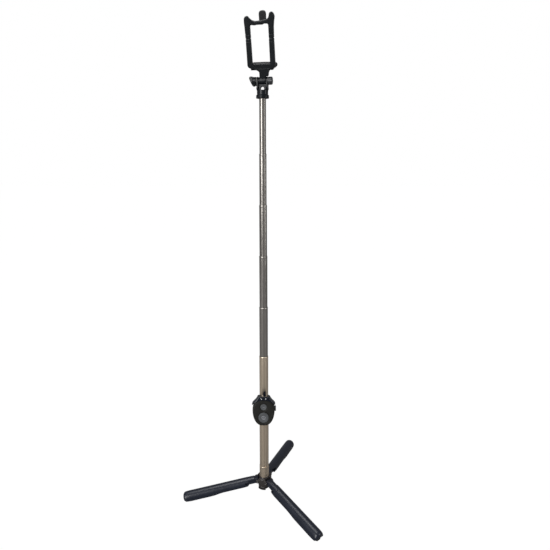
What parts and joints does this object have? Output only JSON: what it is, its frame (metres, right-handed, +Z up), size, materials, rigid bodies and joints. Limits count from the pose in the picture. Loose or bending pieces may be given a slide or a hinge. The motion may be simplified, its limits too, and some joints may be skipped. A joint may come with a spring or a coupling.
{
  "type": "selfie stick",
  "caption": "Telescopic selfie stick on a folding tripod base, with a tilting spring-loaded phone holder and a shutter remote in a cradle on the mast.",
  "frame": {"origin": "centre of the footprint on the floor, under the middle of the overall box", "axes": "+Z up along the mast; the remote faces -Y and the phone side of the holder faces +Y"},
  "size_m": [0.1984, 0.2092, 0.6473],
  "materials": {
    "tube_beige": "champagne coated, glossy",
    "tube_gunmetal": "dark gunmetal coated, glossy",
    "black_plastic": "glossy black moulding",
    "leg_plastic": "satin blue-black moulding",
    "remote_plastic": "matte olive-black moulding",
    "button_grey": "matte grey",
    "rubber_black": "matte rubber",
    "rubber_grey": "matte grey rubber",
    "steel": "plain steel",
    "dark_steel": "black coated steel",
    "bush_plastic": "natural acetal",
    "board_green": "solder mask",
    "brass_strip": "plated brass",
    "lens_clear": "clear moulding"
  },
  "bodies": {
    "base": {"hub_body": "black_plastic", "hub_bottom_ring": "black_plastic", "hub_screws": "steel", "base_ferrule": "tube_beige", "leg_hinge_pins": "steel"},
    "leg_left": {"leg_left_shell": "leg_plastic", "leg_left_inner_cover": "leg_plastic", "leg_left_foot": "rubber_black", "leg_left_screws": "steel"},
    "leg_front": {"leg_front_shell": "leg_plastic", "leg_front_inner_cover": "leg_plastic", "leg_front_foot": "rubber_black", "leg_front_screws": "steel"},
    "leg_back": {"leg_back_shell": "leg_plastic", "leg_back_inner_cover": "leg_plastic", "leg_back_foot": "rubber_black", "leg_back_screws": "steel"},
    "mast_1": {"tube_1": "tube_beige", "tube_1_stop_ring": "steel", "remote_cradle": "black_plastic"},
    "mast_2": {"tube_2": "tube_beige", "tube_2_bush": "bush_plastic"},
    "mast_3": {"tube_3": "tube_gunmetal", "tube_3_bush": "bush_plastic"},
    "mast_4": {"tube_4": "tube_gunmetal", "tube_4_bush": "bush_plastic"},
    "mast_5": {"tube_5": "tube_gunmetal", "tube_5_bush": "bush_plastic"},
    "mast_6": {"tube_6": "tube_gunmetal", "tube_6_bush": "bush_plastic"},
    "mast_7": {"tube_7": "tube_gunmetal", "tube_7_bush": "bush_plastic", "mast_head": "black_plastic", "head_cross_pin": "steel", "tilt_bolt": "dark_steel", "tilt_washers": "bush_plastic"},
    "wing": {"wing_nut": "black_plastic"},
    "holder": {"lower_jaw": "black_plastic", "lower_jaw_pad": "rubber_grey", "post_tube_left": "dark_steel", "post_tube_right": "dark_steel", "post_bushes": "bush_plastic", "jaw_spring_left": "steel", "jaw_spring_right": "steel"},
    "sliding_jaw": {"upper_jaw": "black_plastic", "upper_jaw_pad": "rubber_grey", "slide_rod_left": "steel", "slide_rod_right": "steel"},
    "remote": {"remote_front_shell": "remote_plastic", "remote_rear_shell": "remote_plastic", "remote_screws": "steel", "remote_board": "board_green", "remote_coin_cell": "steel", "remote_battery_contacts": "brass_strip", "remote_dome_switches": "steel", "remote_indicator_lens": "lens_clear"},
    "small_button": {"remote_small_button": "button_grey"},
    "large_button": {"remote_large_button": "button_grey"},
    "power_switch": {"remote_power_switch": "button_grey"}
  },
  "joints": [
    {"name": "leg_left_fold", "type": "hinge", "parent": "base", "child": "leg_left", "pos_m": [0.0087, -0.01043, 0.0228], "axis": [0.1582, -0.9874, 0], "range_deg": [0, 81.6]},
    {"name": "leg_front_fold", "type": "hinge", "parent": "base", "child": "leg_front", "pos_m": [0.0265, -0.01723, 0.0228], "axis": [0.776, 0.6307, 0], "range_deg": [0, 81.6]},
    {"name": "leg_back_fold", "type": "hinge", "parent": "base", "child": "leg_back", "pos_m": [0.02349, 0.00158, 0.0228], "axis": [-0.9342, 0.3567, 0], "range_deg": [0, 81.6]},
    {"name": "tube_1_slide", "type": "slide", "parent": "base", "child": "mast_1", "axis": [0, 0, 1], "range_m": [-0.046, 0]},
    {"name": "tube_2_slide", "type": "slide", "parent": "mast_1", "child": "mast_2", "axis": [0, 0, 1], "range_m": [-0.0636, 0]},
    {"name": "tube_3_slide", "type": "slide", "parent": "mast_2", "child": "mast_3", "axis": [0, 0, 1], "range_m": [-0.0678, 0]},
    {"name": "tube_4_slide", "type": "slide", "parent": "mast_3", "child": "mast_4", "axis": [0, 0, 1], "range_m": [-0.0668, 0]},
    {"name": "tube_5_slide", "type": "slide", "parent": "mast_4", "child": "mast_5", "axis": [0, 0, 1], "range_m": [-0.0627, 0]},
    {"name": "tube_6_slide", "type": "slide", "parent": "mast_5", "child": "mast_6", "axis": [0, 0, 1], "range_m": [-0.0593, 0]},
    {"name": "tube_7_slide", "type": "slide", "parent": "mast_6", "child": "mast_7", "axis": [0, 0, 1], "range_m": [-0.0603, 0]},
    {"name": "holder_tilt", "type": "hinge", "parent": "mast_7", "child": "holder", "pos_m": [0.01956, -0.00869, 0.5723], "axis": [0.9877, -0.1564, 0], "range_deg": [-100, 70]},
    {"name": "wing_nut_turn", "type": "hinge", "parent": "mast_7", "child": "wing", "pos_m": [0.01067, -0.00729, 0.5723], "axis": [0.9877, -0.1564, 0], "range_deg": [0, 270]},
    {"name": "jaw_slide", "type": "slide", "parent": "holder", "child": "sliding_jaw", "axis": [-0.0509, -0.3216, 0.9455], "range_m": [0, 0.03], "stiffness_N_per_m": 150, "springref_m": -0.012},
    {"name": "remote_release", "type": "slide", "parent": "mast_1", "child": "remote", "axis": [0, -0.2419, -0.9703], "range_m": [0, 0.045]},
    {"name": "small_button_press", "type": "slide", "parent": "remote", "child": "small_button", "axis": [0, 0.9703, -0.2419], "range_m": [0, 0.0005], "stiffness_N_per_m": 800, "springref_m": -0.0005},
    {"name": "large_button_press", "type": "slide", "parent": "remote", "child": "large_button", "axis": [0, 0.9703, -0.2419], "range_m": [0, 0.0005], "stiffness_N_per_m": 800, "springref_m": -0.0005},
    {"name": "power_switch_slide", "type": "slide", "parent": "remote", "child": "power_switch", "axis": [0, 0.2419, 0.9703], "range_m": [0, 0.0015]}
  ]
}
